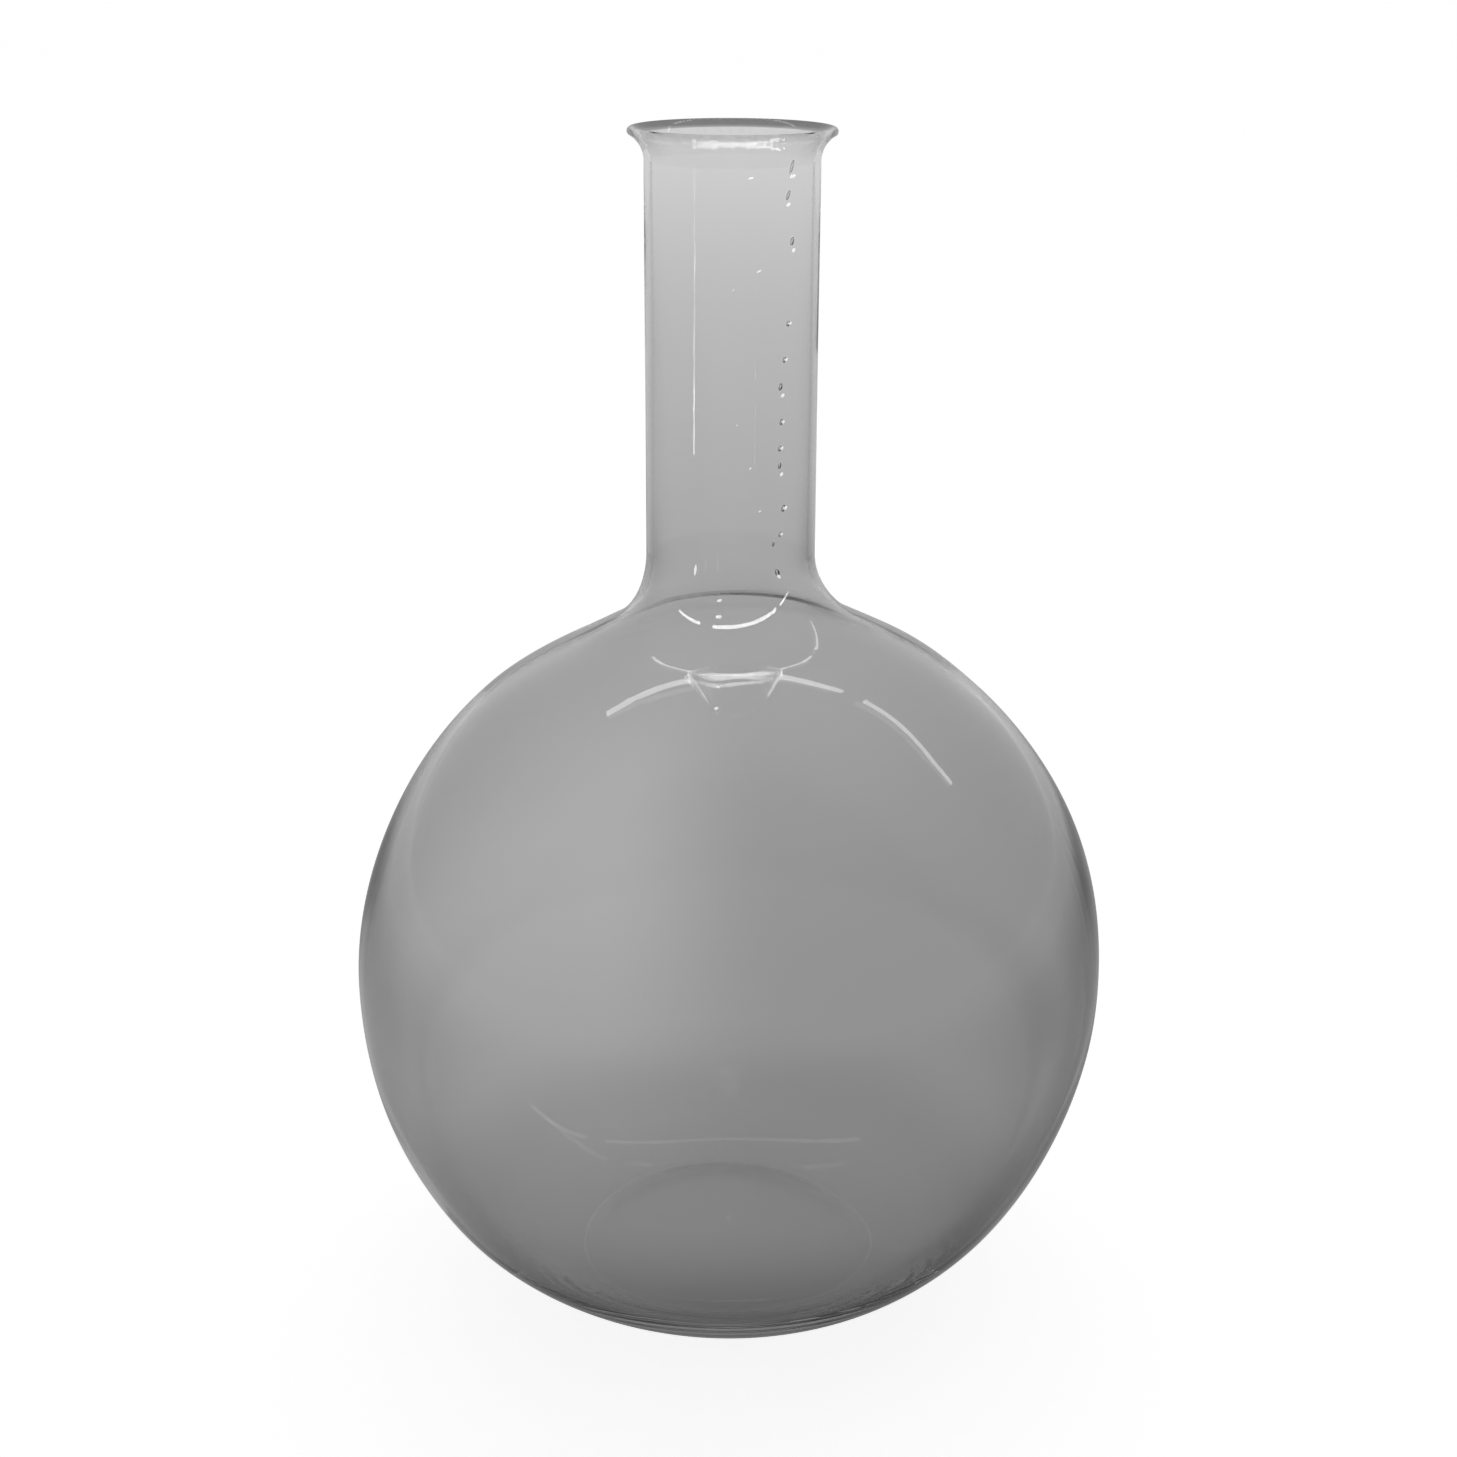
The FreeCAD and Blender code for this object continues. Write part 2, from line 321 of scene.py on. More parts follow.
def band(start, end, value):
    """0 to 1 over the start's two values, and back to 0 over the end's."""
    return smooth(*start, value) * (1.0 - smooth(*end, value))


def waves(amplitude, turns, lengths, count):
    """Slow unevenness round and along the skin: a sum of long waves."""
    field = np.zeros((ROWS, AROUND))
    for _ in range(count):
        round_count = rng.integers(turns[0], turns[1] + 1)
        length = rng.uniform(*lengths)
        phase, drift = rng.uniform(0.0, 2.0 * math.pi, 2)
        field += np.cos(round_count * THETA[None, :] + phase
                        + 2.0 * math.pi * ALONG[:, None] / length + drift)
    return field * amplitude / math.sqrt(count)


def turned(middle):
    """Angle of each column away from a direction given in degrees to the right of the front."""
    return (THETA + UP - math.radians(middle) + 2 * UP) % (4 * UP) - 2 * UP


def cords():
    """Fine vertical ridges left in the neck's skin when it was drawn out."""
    height = PROFILE[:, 1]
    in_neck = band((NECK_BASE, NECK_BASE + 20 * MM), (FLARE_HEIGHT - 12 * MM, FLARE_HEIGHT), height)
    field = np.zeros((ROWS, AROUND))
    for angle in CORD_ANGLES:
        width = math.radians(rng.uniform(0.6, 0.9))
        strength = CORD_HEIGHT * (1.0 + 0.5 * np.sin(height / (19 * MM) + rng.uniform(0.0, 6.0)))
        field += (strength * in_neck)[:, None] * np.exp(-(turned(angle) / width) ** 2)[None, :]
    return field


def tool_marks():
    """Ragged little marks inside the mouth, where it was opened out with a tool."""
    height = PROFILE[:, 1]
    level = band(MARK_START, MARK_END, height)
    rough = np.zeros((ROWS, AROUND))
    for turns in MARK_TURNS:
        climb = rng.uniform(-1.0, 1.0) / MARK_CLIMB
        rough += np.cos(turns * THETA[None, :] + climb * height[:, None] + rng.uniform(0.0, 6.0))
    return rough * level[:, None] * MARK_DEPTH / len(MARK_TURNS)


def unevenness():
    """How far each point of the skin stands off the true profile, along its normal."""
    radius = PROFILE[:, 0]
    height = PROFILE[:, 1]
    outside = np.arange(ROWS) <= LIP_ROW
    calm = smooth(8 * MM, 30 * MM, radius) * smooth(0.5 * MM, 14 * MM, height)
    calm *= 1.0 - smooth(FLARE_HEIGHT - 4 * MM, FLARE_HEIGHT + 4 * MM, height)
    globe_part = 1.0 - smooth(NECK_BASE - 25 * MM, NECK_BASE, height)
    skin = waves(0.10 * MM, (1, 5), (70 * MM, 260 * MM), 9) * globe_part[:, None]
    skin += waves(0.025 * MM, (1, 4), (60 * MM, 200 * MM), 7)
    inner = waves(0.16 * MM, (1, 5), (60 * MM, 220 * MM), 9) * globe_part[:, None]
    inner += waves(0.03 * MM, (2, 9), (120 * MM, 400 * MM), 9)
    field = skin + np.where(outside[:, None], 0.0, inner)
    field *= calm[:, None]
    field += np.where(outside[:, None], cords(), tool_marks())
    field -= np.where(outside, field.max(axis=1), 0.0)[:, None]
    return field


def lean(points):
    """Hand-blown lopsidedness: the globe swells a little to the right above its middle and to the left
    below it, and its right shoulder stands a little higher than its left.
    """
    x, height = points[:, :, 0], points[:, :, 2]
    tilt = band((192 * MM, 212 * MM), (222 * MM, NECK_BASE), height)
    points[:, :, 2] += SHOULDER_TILT * x * tilt
    above = band((GLOBE_HEIGHT, 165 * MM), (210 * MM, NECK_BASE), height)
    below = smooth(98 * MM, 55 * MM, height) * smooth(4 * MM, 30 * MM, height)
    points[:, :, 0] += LEAN_ABOVE * above - LEAN_BELOW * below


def skin_points():
    """Every point of the skin and its outward normal, as (row, column, xyz)."""
    along = np.gradient(PROFILE, axis=0)
    along /= np.linalg.norm(along, axis=1)[:, None]
    normal = np.column_stack([along[:, 1], -along[:, 0]])
    offset = unevenness()
    fullness = smooth(*FULL_TURN, abs(turned(0.0)))
    change = FULL_PROFILE - PROFILE
    radius = PROFILE[:, 0, None] + normal[:, 0, None] * offset + change[:, 0, None] * fullness
    height = PROFILE[:, 1, None] + normal[:, 1, None] * offset + change[:, 1, None] * fullness
    points = np.stack([radius * np.cos(THETA), radius * np.sin(THETA), height], axis=2)
    lean(points)
    by_row = np.gradient(points, axis=0)
    by_column = np.roll(points, -1, axis=1) - np.roll(points, 1, axis=1)
    normals = np.cross(by_column, by_row)
    lengths = np.linalg.norm(normals, axis=2)
    lengths[lengths == 0.0] = 1.0
    normals /= lengths[:, :, None]
    normals[0] = (0.0, 0.0, -1.0)
    normals[-1] = (0.0, 0.0, 1.0)
    return points, normals


POINTS, NORMALS = skin_points()

# ---------------------------------------------------------------- materials


def new_material(name):
    """An empty node material, its nodes and its links."""
    material = bpy.data.materials.new(name)
    material.use_nodes = True
    nodes = material.node_tree.nodes
    nodes.clear()
    return material, nodes, material.node_tree.links


def value(nodes, links, operation, *inputs):
    """A maths node on sockets or plain numbers, returning its output."""
    node = nodes.new("ShaderNodeMath")
    node.operation = operation
    for place, item in enumerate(inputs):
        if isinstance(item, (int, float)):
            node.inputs[place].default_value = item
        else:
            links.new(item, node.inputs[place])
    return node.outputs[0]


def ease(nodes, links, low, high, item, start, end):
    """Smooth change from start to end while item goes from low to high."""
    node = nodes.new("ShaderNodeMapRange")
    node.interpolation_type = "SMOOTHSTEP"
    node.inputs["From Min"].default_value = low
    node.inputs["From Max"].default_value = high
    node.inputs["To Min"].default_value = start
    node.inputs["To Max"].default_value = end
    links.new(item, node.inputs["Value"])
    return node.outputs["Result"]


# How strongly the glass bends light: on the lower globe, on the upper globe and at the lip. It changes
# from the first to the second between two heights.
GLASS_IOR = 1.5
UPPER_IOR = 1.25
LIP_IOR = 1.03
THINNING = (125 * MM, 170 * MM)

# How much light one wall lets through, by height above the foot.
TINT_BY_HEIGHT = [
    (0.0, 0.655),
    (14 * MM, 0.70),
    (40 * MM, 0.85),
    (GLOBE_HEIGHT, 0.885),
    (180 * MM, 0.90),
    (NECK_BASE, 0.91),
    (310 * MM, 0.93),
    (FLARE_HEIGHT + 10 * MM, 0.975),
]

# How much the outline of the lower globe darkens, and the heights where that fades out: partly the longer
# path through the tinted glass, partly painted shade. Towards the right it grows so many times stronger,
# and that extra darkening is painted shade.
OUTLINE_DARK = 0.9
OUTLINE_FADE = (66 * MM, 104 * MM)
RIGHT_PAINTED_SHADE = 1.6
RIGHT_SHADE_REACH = (30 * MM, 100 * MM)
# Where the painted shade at the back of the lip's edge sets in, going back and going up.
LIP_SHADE_BACK = (-8 * MM, 6 * MM)
LIP_SHADE_TOP = (LIP_TOP - 3.0 * MM, LIP_TOP - 1.8 * MM)


def object_place(nodes, links):
    """The place of a point on its object, and its three coordinates as sockets."""
    place = nodes.new("ShaderNodeTexCoord").outputs["Object"]
    split = nodes.new("ShaderNodeSeparateXYZ")
    links.new(place, split.inputs[0])
    return place, split.outputs["X"], split.outputs["Y"], split.outputs["Z"]


def principled(nodes, links, settings):
    """A Principled shader as the material's surface, its inputs set from plain values or sockets."""
    shader = nodes.new("ShaderNodeBsdfPrincipled")
    for name, item in settings.items():
        socket = shader.inputs[name]
        if isinstance(item, bpy.types.NodeSocket):
            links.new(item, socket)
        else:
            socket.default_value = item
    show(nodes, links, shader)


def show(nodes, links, shader, kind="ShaderNodeOutputMaterial"):
    """Make a shader the material's surface, or the world's."""
    links.new(shader.outputs[0], nodes.new(kind).inputs["Surface"])


def height_tint(nodes, links, height):
    """Grey of the glass at some height, from TINT_BY_HEIGHT."""
    top = TINT_BY_HEIGHT[-1][0]
    ramp = nodes.new("ShaderNodeValToRGB")
    ramp.color_ramp.interpolation = "EASE"
    stops = ramp.color_ramp.elements
    while len(stops) < len(TINT_BY_HEIGHT):
        stops.new(0.5)
    for stop, (level, share) in zip(stops, TINT_BY_HEIGHT):
        stop.position = level / top
        stop.color = (share, share, share, 1.0)
    links.new(value(nodes, links, "DIVIDE", height, top), ramp.inputs["Fac"])
    return ramp.outputs["Color"]


def glass_material(name, coat):
    """Smoky blown glass, darker towards the base. It darkens towards the outline of the lower globe, partly
    for the longer path through the tinted glass and partly as painted shade, most on the right, where the
    extra is painted shade; and it bends light less and less towards the mouth.
    """
    material, nodes, links = new_material(name)
    _, x, _, height = object_place(nodes, links)
    outline = nodes.new("ShaderNodeLayerWeight")
    outline.inputs["Blend"].default_value = 0.5
    # Painted shade along the outline of the lower globe, stronger on the right, mixed with the darkening of
    # a longer path through the glass.
    depth = value(nodes, links, "MULTIPLY", ease(nodes, links, *OUTLINE_FADE, height, OUTLINE_DARK, 0.0),
                  ease(nodes, links, *RIGHT_SHADE_REACH, x, 1.0, RIGHT_PAINTED_SHADE))
    facing = value(nodes, links, "POWER", outline.outputs["Facing"], 3.0)
    kept = value(nodes, links, "SUBTRACT", 1.0, value(nodes, links, "MULTIPLY", facing, depth))
    tint = nodes.new("ShaderNodeVectorMath")
    tint.operation = "SCALE"
    links.new(height_tint(nodes, links, height), tint.inputs[0])
    links.new(kept, tint.inputs["Scale"])
    bend = value(nodes, links, "MINIMUM",
                 ease(nodes, links, *THINNING, height, GLASS_IOR, UPPER_IOR),
                 ease(nodes, links, NECK_BASE, FLARE_HEIGHT, height, GLASS_IOR, LIP_IOR))
    principled(nodes, links, {
        "Transmission Weight": 1.0, "Roughness": 0.0, "IOR": bend, "Base Color": tint.outputs[0],
        "Coat Weight": ease(nodes, links, *THINNING, height, 0.0, coat)})
    return material


def mouth_material(name, back_shade, light, mottle):
    """The fire-polished mouth: duller glass with a shine, with painted shade round the back of its edge."""
    material, nodes, links = new_material(name)
    place, _, y, height = object_place(nodes, links)
    specks = nodes.new("ShaderNodeTexNoise")
    specks.inputs["Scale"].default_value = 420.0
    specks.inputs["Detail"].default_value = 3.0
    links.new(place, specks.inputs["Vector"])
    # Painted shade: the back of the lip's edge is made darker towards its top.
    painted_back_shade = ease(nodes, links, *LIP_SHADE_BACK, y, 0.0, back_shade - light)
    edge = ease(nodes, links, *LIP_SHADE_TOP, height, 0.0, 1.0)
    clear = value(nodes, links, "ADD", value(nodes, links, "MULTIPLY", painted_back_shade, edge), light)
    speckled = ease(nodes, links, 0.3, 0.7, specks.outputs[0], mottle, 1.0)
    mottled = value(nodes, links, "MULTIPLY", clear, speckled)
    colour = nodes.new("ShaderNodeCombineColor")
    for channel in ("Red", "Green", "Blue"):
        links.new(mottled, colour.inputs[channel])
    principled(nodes, links, {
        "Transmission Weight": 1.0, "Roughness": 0.04, "IOR": LIP_IOR, "Base Color": colour.outputs[0],
        "Coat Weight": 0.6, "Coat Roughness": 0.05})
    return material


def seed_material():
    """The skin of an air bubble in the wall."""
    material, nodes, links = new_material("seed_skin")
    principled(nodes, links, {
        "Transmission Weight": 1.0, "Roughness": 0.02, "IOR": GLASS_IOR,
        "Base Color": (0.94, 0.94, 0.94, 1.0)})
    return material


def painted_glint_material():
    """Painted glint: a white spot near a bubble that glows a little though it is no lamp, standing in for
    light the bubble reflects, so it stays white in a dim room.
    """
    material, nodes, links = new_material("painted_glint_white")
    principled(nodes, links, {
        "Base Color": (0.95, 0.95, 0.95, 1.0), "Roughness": 0.3,
        "Emission Color": (1.0, 1.0, 1.0, 1.0), "Emission Strength": 0.75})
    return material


def seam_material():
    """The cut between two zones, which doesn't exist on the real flask, so it shows nothing."""
    material, nodes, links = new_material("glass_runs_on")
    show(nodes, links, nodes.new("ShaderNodeBsdfTransparent"))
    return material


GLASS = glass_material("blown_glass", 0.5)
NECK_GLASS = glass_material("neck_glass", 0.07)
# The lip's glass carries painted shade at the back of its edge; the mouth's glass has none.
LIP_GLASS = mouth_material("lip_shaded_glass", 0.34, 0.96, 0.9)
MOUTH_GLASS = mouth_material("mouth_glass", 0.96, 0.96, 0.99)
MATERIALS = {"lip_bead": LIP_GLASS, "mouth_flare": MOUTH_GLASS, "neck_tube": NECK_GLASS}
SEAM = seam_material()
SEED_GLASS = seed_material()
GLINT_PAINT = painted_glint_material()

# ---------------------------------------------------------------- the pieces

# Places of a piece's materials in its list.
GLASS_SLOT, SEAM_SLOT, SEED_SLOT, PAINTED_GLINT_SLOT = range(4)
SEED_SIDES = 12
SEED_RINGS = 10
SEEDED = ("shoulder", "neck_tube")


def egg_directions():
    """Directions of a ball's points: its top, its rings from the top down, and its bottom."""
    spins = np.linspace(0.0, 2.0 * math.pi, SEED_SIDES, endpoint=False)
    rings = np.linspace(0.0, math.pi, SEED_RINGS + 1)[1:-1]
    return ([(0.0, 0.0, 1.0)]
            + [(math.sin(ring) * math.cos(spin), math.sin(ring) * math.sin(spin), math.cos(ring))
               for ring in rings for spin in spins]
            + [(0.0, 0.0, -1.0)])


def egg_faces():
    """The ball's faces, as seen from inside it."""
    around = [(side, (side + 1) % SEED_SIDES) for side in range(SEED_SIDES)]
    lows = [1 + ring * SEED_SIDES for ring in range(SEED_RINGS - 1)]
    faces = [(0, 1 + after, 1 + side) for side, after in around]
    for low in lows[:-1]:
        faces += [(low + side, low + after, low + after + SEED_SIDES, low + side + SEED_SIDES)
                  for side, after in around]
    faces += [(lows[-1] + side, lows[-1] + after, lows[-1] + SEED_SIDES) for side, after in around]
    return faces


EGG_DIRECTIONS = egg_directions()
EGG_FACES = egg_faces()


def wall_point(height, depth):
    """A point some way inside the wall at the front: its distance from the axis and its height."""
    row = next(row for row in range(LIP_ROW)
               if PROFILE[row, 1] >= height and PROFILE[row, 0] < GLOBE_RADIUS)
    slope = PROFILE[row + 1] - PROFILE[row - 1]
    slope /= np.linalg.norm(slope)
    return FULL_PROFILE[row] - np.array([slope[1], -slope[0]]) * depth


class Builder:
    """Collects points, faces, face materials and corner normals of one piece."""

    def __init__(self):
        self.points = []
        self.faces = []
        self.slots = []
        self.corners = []
        self.seen = {}

    def skin_vertex(self, row, column):
        """Index of a point of the skin; a pole is one point for all columns."""
        column = 0 if row in (0, ROWS - 1) else column % AROUND
        if (row, column) not in self.seen:
            self.seen[row, column] = len(self.points)
            self.points.append(POINTS[row, column])
        return self.seen[row, column]

    def skin_face(self, corners):
        """One face of the glass surface, with the skin's own normals."""
        ring = []
        normals = []
        for row, column in corners:
            vertex = self.skin_vertex(row, column)
            if vertex not in ring:
                ring.append(vertex)
                normals.append(NORMALS[row, column % AROUND])
        self.faces.append(ring)
        self.slots.append(GLASS_SLOT)
        self.corners.extend(normals)

    def seam_face(self, corners):
        """One face of a cut between zones, with a flat normal."""
        ring = [self.skin_vertex(row, column) for row, column in corners]
        a, b, c = (np.array(self.points[vertex]) for vertex in ring[:3])
        normal = np.cross(b - a, c - a)
        normal /= np.linalg.norm(normal)
        self.faces.append(ring)
        self.slots.append(SEAM_SLOT)
        self.corners.extend([normal] * len(ring))

    def seed(self, height, angle, length, width, tilt, depth, slot):
        """A small air bubble inside the wall: a closed long egg, with its skin facing the air in it. In the
        painted glint's slot it is a glowing white spot, a painted glint, with its skin facing out.
        """
        turn = math.radians(angle) - UP
        tilt = math.radians(tilt)
        outward = np.array([math.cos(turn), math.sin(turn), 0.0])
        sideways = np.array([-math.sin(turn), math.cos(turn), 0.0])
        upright = np.array([0.0, 0.0, 1.0])
        axes = (outward,
                sideways * math.cos(tilt) - upright * math.sin(tilt),
                upright * math.cos(tilt) + sideways * math.sin(tilt))
        half = (width / 2, width / 2, length / 2)
        radius, level = wall_point(height, depth)
        middle = outward * radius + upright * level
        side = 1.0 if slot == PAINTED_GLINT_SLOT else -1.0
        start = len(self.points)
        normals = []
        for direction in EGG_DIRECTIONS:
            offsets = (axis * size * part for axis, size, part in zip(axes, half, direction))
            self.points.append(middle + sum(offsets))
            facing = sum(axis / size * part for axis, size, part in zip(axes, half, direction))
            normals.append(facing / np.linalg.norm(facing) * side)
        for face in EGG_FACES:
            face = face[::-1] if slot == PAINTED_GLINT_SLOT else face
            self.faces.append([start + corner for corner in face])
            self.slots.append(slot)
            self.corners.extend(normals[corner] for corner in face)

    def finish(self, name, materials):
        """Make the object."""
        mesh = bpy.data.meshes.new(name)
        mesh.from_pydata([tuple(map(float, point)) for point in self.points], [], self.faces)
        for material in materials:
            mesh.materials.append(material)
        mesh.polygons.foreach_set("material_index", self.slots)
        mesh.polygons.foreach_set("use_smooth", [True] * len(self.faces))
        mesh.normals_split_custom_set([tuple(map(float, normal)) for normal in self.corners])
        mesh.update()
        piece = bpy.data.objects.new(name, mesh)
        bpy.context.scene.collection.objects.link(piece)
        return piece


# Air bubbles in the neck's wall: height, degrees to the right of the front, length, width (mm), tilt.
SEEDS = [
    (356.0, 43, 4.2, 0.9, 20), (346.5, 40, 3.0, 0.9, 26), (334.2, 44, 2.6, 1.1, 12),
    (311.5, 41, 1.8, 1.1, 20), (301.7, 38, 1.8, 1.0, 20), (292.6, 35, 2.2, 1.2, 16),
    (283.6, 36, 1.8, 1.1, 16), (276.3, 35, 1.8, 1.1, 16), (269.0, 35, 1.9, 1.0, 14),
    (258.2, 38.5, 2.2, 1.2, 16), (250.6, 36, 1.6, 0.9, 22), (246.4, 30.5, 1.7, 0.8, 10),
    (238.7, 34, 2.2, 1.5, -24),
]
# Painted glints: glowing white spots at their lower ends, and a few single ones, given the same way.
PAINTED_GLINTS = [
    (353.2, 43.5, 2.1, 0.9, 78), (344.4, 40, 1.5, 0.9, 60), (332.7, 45, 1.4, 0.9, 40),
    (310.4, 42.3, 1.2, 0.8, 60), (300.6, 39.3, 1.1, 0.8, 50), (291.4, 36.6, 1.3, 0.9, 50),
    (282.6, 37.3, 1.1, 0.8, 50), (275.2, 36.4, 1.2, 0.8, 50), (267.9, 36.4, 1.3, 0.8, 40),
    (256.9, 40, 1.5, 0.9, 60), (249.8, 37, 1.0, 0.7, 50), (237.4, 35, 1.7, 0.8, -40),
    (240.0, -24.6, 3.4, 0.7, 6), (326.5, 18, 1.5, 0.5, 66), (320.5, 1, 0.6, 0.3, 40),
    (281.5, 4, 0.6, 0.3, 30), (271.0, 13, 0.8, 0.4, 50), (257.5, 20, 0.8, 0.4, 60),
    (353.5, 12, 1.6, 0.4, 78), (233.0, -7, 1.5, 0.8, 70), (229.0, -7, 1.8, 1.0, 80),
    (214.5, -4, 0.9, 0.5, 80), (208.6, -4, 1.2, 0.9, 70),
]
# How deep each kind lies in the wall, and its slot.
IN_THE_WALL = [(SEEDS, WALL / 2, SEED_SLOT), (PAINTED_GLINTS, WALL * 0.4, PAINTED_GLINT_SLOT)]


def square(first, last, column):
    """Corners of the face between two rows of the skin and two neighbouring columns."""
    return [(first, column), (first, column + 1), (last, column + 1), (last, column)]


def glass_zone(node):
    """The closed piece that stands for one CAD zone of the wall: its skin outside and inside, and the
    cuts that join them.
    """
    builder = Builder()
    ends = RANGES[node]
    for first, last in ends:
        for row in range(first, last):
            for column in range(AROUND):
                builder.skin_face(square(row, row + 1, column))
    out_first, out_last = ends[0]
    if len(ends) == 1:
        cuts = [(out_last, out_first)]
    else:
        in_first, in_last = ends[1]
        cuts = [(out_last, in_first)]
        if out_first > 0:
            cuts.append((in_last, out_first))
    for start, end in cuts:
        for column in range(AROUND):
            builder.seam_face(square(start, end, column))
    materials = [MATERIALS.get(node, GLASS), SEAM]
    if node in SEEDED:
        materials += [SEED_GLASS, GLINT_PAINT]
        low, high = box_of(node)
        for table, depth, slot in IN_THE_WALL:
            for height, angle, length, width, tilt in table:
                if low[2] < height * MM < high[2]:
                    builder.seed(height * MM, angle, length * MM, width * MM, tilt, depth, slot)
    piece = builder.finish(f"{node}_glass", materials)
    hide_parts(node)
    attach(piece, "root")


for zone in RANGES:
    glass_zone(zone)

# ---------------------------------------------------------------- floor, light and camera

# Only the camera sees the white backdrop and floor. The flask stands in a dimmer room, so that the glass
# shows grey against the white, as on a cut-out picture. That room's floor brightens with distance.
FLOOR_REACH = 40.0
FLOOR_TONE = 0.51
FLOOR_RISE = 0.2
CLOSE_BY = 0.35
FAR_AWAY = 6.0
NEVER_ZERO = 0.0001
# The light that the globe gathers on the floor behind it: its middle, how wide it is and its strength.
POOL_PLACE = (-0.066, 0.30)
POOL_SIZE = (0.135, 0.26)
POOL_LIGHT = 0.16


def room_sides(nodes, links, sideways, painted_back_shade):
    """Light from the horizon: full behind the flask, dimmer to the sides, dimmest on the camera's side."""
    right = ease(nodes, links, 0.15, 0.95, sideways, 1.0, 0.52)
    left = ease(nodes, links, -0.95, -0.15, sideways, 0.64, 1.0)
    front = ease(nodes, links, -0.8, 0.2, painted_back_shade, 0.45, 1.0)
    return value(nodes, links, "MULTIPLY", value(nodes, links, "MULTIPLY", right, left), front)


def near_sides(nodes, links, x, y):
    """Light of the floor close to the flask, which falls off to the right, the left and the front."""
    right = ease(nodes, links, 0.04, 0.45, x, 1.0, 0.14)
    left = ease(nodes, links, -0.45, -0.04, x, 0.34, 1.0)
    front = ease(nodes, links, -0.068, 0.012, y, 0.42, 1.0)
    return value(nodes, links, "MULTIPLY", value(nodes, links, "MULTIPLY", right, left), front)


def light_pool(nodes, links, x, y):
    """The patch of light on the floor behind the globe, cut off on the right."""
    across, along = (
        value(nodes, links, "DIVIDE", value(nodes, links, "SUBTRACT", item, middle), size)
        for item, middle, size in zip((x, y), POOL_PLACE, POOL_SIZE))
    spread = value(nodes, links, "ADD", value(nodes, links, "POWER", across, 2.0),
                   value(nodes, links, "POWER", along, 2.0))
    fade = value(nodes, links, "EXPONENT", value(nodes, links, "MULTIPLY", spread, -1.0))
    pool = value(nodes, links, "MULTIPLY", fade, POOL_LIGHT)
    return value(nodes, links, "MULTIPLY", pool, ease(nodes, links, -0.060, 0.030, x, 1.0, 0.0))


def two_faced(nodes, links, hidden, seen, kind):
    """Show one shader to the camera and another to the light that the glass bends and reflects."""
    path = nodes.new("ShaderNodeLightPath")
    choice = nodes.new("ShaderNodeMixShader")
    links.new(path.outputs["Is Camera Ray"], choice.inputs["Fac"])
    links.new(hidden.outputs[0], choice.inputs[1])
    links.new(seen.outputs[0], choice.inputs[2])
    show(nodes, links, choice, kind)


def make_floor():
    """Plain pale floor, so large that its edge is never in view."""
    reach = FLOOR_REACH
    mesh = bpy.data.meshes.new("floor")
    mesh.from_pydata([(-reach, -reach, 0), (reach, -reach, 0), (reach, reach, 0), (-reach, reach, 0)],
                     [], [(0, 1, 2, 3)])
    floor = bpy.data.objects.new("floor", mesh)
    bpy.context.scene.collection.objects.link(floor)
    material, nodes, links = new_material("pale_floor")
    _, x, y, _ = object_place(nodes, links)

    def maths(operation, *inputs):
        """A maths node in the floor's material."""
        return value(nodes, links, operation, *inputs)

    reach_squared = maths("ADD", maths("POWER", x, 2.0), maths("POWER", y, 2.0))
    distance = maths("SQRT", maths("ADD", reach_squared, NEVER_ZERO))
    far = room_sides(nodes, links, maths("DIVIDE", x, distance), maths("DIVIDE", y, distance))
    near = near_sides(nodes, links, x, y)
    farness = ease(nodes, links, CLOSE_BY, 1.2, distance, 0.0, 1.0)
    sides = maths("ADD", maths("MULTIPLY", near, maths("SUBTRACT", 1.0, farness)),
                  maths("MULTIPLY", far, farness))
    kept = maths("MINIMUM", maths("MAXIMUM", distance, CLOSE_BY), FAR_AWAY)
    tone = maths("MULTIPLY", maths("MULTIPLY", sides, maths("POWER", kept, FLOOR_RISE)), FLOOR_TONE)
    dim = nodes.new("ShaderNodeEmission")
    links.new(maths("ADD", tone, light_pool(nodes, links, x, y)), dim.inputs["Strength"])

    matt = nodes.new("ShaderNodeBsdfDiffuse")
    matt.inputs["Color"].default_value = (0.6, 0.6, 0.6, 1.0)
    glow = nodes.new("ShaderNodeEmission")
    glow.inputs["Strength"].default_value = 0.86
    white = nodes.new("ShaderNodeAddShader")
    links.new(matt.outputs[0], white.inputs[0])
    links.new(glow.outputs[0], white.inputs[1])
    two_faced(nodes, links, dim, white, "ShaderNodeOutputMaterial")
    mesh.materials.append(material)


def make_world():
    """Soft room light round the flask, brightest behind it and dimmer overhead and to the sides, and a
    plain white backdrop.
    """
    world = bpy.data.worlds.new("studio")
    bpy.context.scene.world = world
    world.use_nodes = True
    nodes = world.node_tree.nodes
    links = world.node_tree.links
    nodes.clear()
    split = nodes.new("ShaderNodeSeparateXYZ")
    links.new(nodes.new("ShaderNodeTexCoord").outputs["Generated"], split.inputs[0])
    horizon = FLOOR_TONE * FAR_AWAY ** FLOOR_RISE
    lifted = ease(nodes, links, 0.0, 0.7, split.outputs["Z"], horizon, horizon * 0.5)
    sides = room_sides(nodes, links, split.outputs["X"], split.outputs["Y"])
    room = nodes.new("ShaderNodeBackground")
    links.new(value(nodes, links, "MULTIPLY", lifted, sides), room.inputs["Strength"])
    backdrop = nodes.new("ShaderNodeBackground")
    backdrop.inputs["Color"].default_value = (1.0, 1.0, 1.0, 1.0)
    two_faced(nodes, links, room, backdrop, "ShaderNodeOutputWorld")


# The long light behind the flask, in layers: seen everywhere, seen through the neck, seen in the outside
# of the glass. Each layer stands a little nearer than the last, since a ray meets only the nearest.
STRIP_Y = 0.855
STRIP_Z = 1.82
STRIP_WIDTH = 0.08
STRIP_PARTS = [("left", -0.97, 0.77), ("right", 0.99, 2.40)]
STRIP_LAYERS = [("", 1.1, ()), ("_behind_neck", 6.7, ("neck_tube",)), ("_glare", 3.5, ())]
STRIP_GAP = 4 * MM
